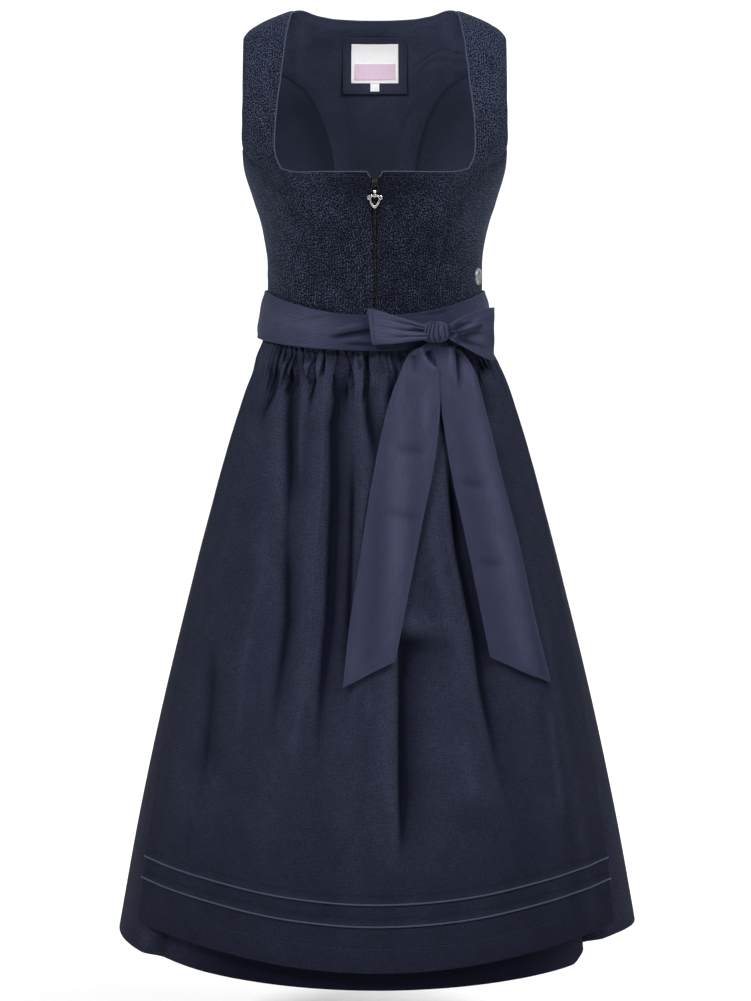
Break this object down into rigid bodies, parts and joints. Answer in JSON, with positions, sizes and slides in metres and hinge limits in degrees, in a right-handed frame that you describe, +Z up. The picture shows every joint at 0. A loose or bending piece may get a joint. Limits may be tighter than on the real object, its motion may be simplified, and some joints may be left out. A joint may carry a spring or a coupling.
{
  "type": "dirndl dress",
  "caption": "Sleeveless folk dress with a square neck, a front zip, a gathered midi skirt and a piped apron tied in a bow, filled out as if worn.",
  "frame": {"origin": "midway between the tops of the two shoulders, where the wearer carries the dress", "axes": "+Z up, the front towards -Y, the wearer's left towards +X"},
  "size_m": [0.6326, 0.5005, 1.1148],
  "materials": {
    "bodice_cloth": "dark navy textured jacquard",
    "lining_cloth": "smooth dark navy plain weave",
    "skirt_cloth": "navy fine weave",
    "apron_cloth": "dark navy weave with a slight sheen",
    "ribbon_cloth": "navy fine rib",
    "piping": "slate blue satin cord",
    "zip_black": "black tape and coil",
    "zip_metal": "black enamel",
    "silver": "bright silver plate",
    "pewter": "aged pewter",
    "label": "white woven label, blank"
  },
  "bodies": {
    "dress": {"front_left": "bodice_cloth", "front_right": "bodice_cloth", "side_front_left": "bodice_cloth", "side_front_right": "bodice_cloth", "back": "bodice_cloth", "side_back_left": "bodice_cloth", "side_back_right": "bodice_cloth", "lining_back": "lining_cloth", "lining_side_back_left": "lining_cloth", "lining_side_back_right": "lining_cloth", "label_patch": "apron_cloth", "label": "label", "size_tab": "label", "zip_tape": "zip_black", "zip_chain": "zip_black", "zip_slider": "zip_metal", "neck_piping_left": "piping", "neck_piping_right": "piping", "badge": "pewter", "skirt_front": "skirt_cloth", "skirt_back": "skirt_cloth", "apron": "apron_cloth", "apron_piping_upper": "piping", "apron_piping_lower": "piping", "waistband_front": "ribbon_cloth", "waistband_back": "ribbon_cloth", "bow_knot": "ribbon_cloth", "bow_loop_left": "ribbon_cloth", "bow_loop_right": "ribbon_cloth", "bow_tail_left": "ribbon_cloth", "bow_tail_right": "ribbon_cloth"},
    "zip_pull": {"zip_pull": "zip_metal"},
    "zip_charm": {"zip_charm": "silver"}
  },
  "joints": [
    {"name": "zip_pull_hinge", "type": "hinge", "parent": "dress", "child": "zip_pull", "pos_m": [0, -0.11885, -0.2007], "axis": [-1, 0, 0], "range_deg": [0, 120]},
    {"name": "zip_charm_hinge", "type": "hinge", "parent": "zip_pull", "child": "zip_charm", "pos_m": [0, -0.11885, -0.2122], "axis": [-1, 0, 0], "range_deg": [0, 80]}
  ]
}
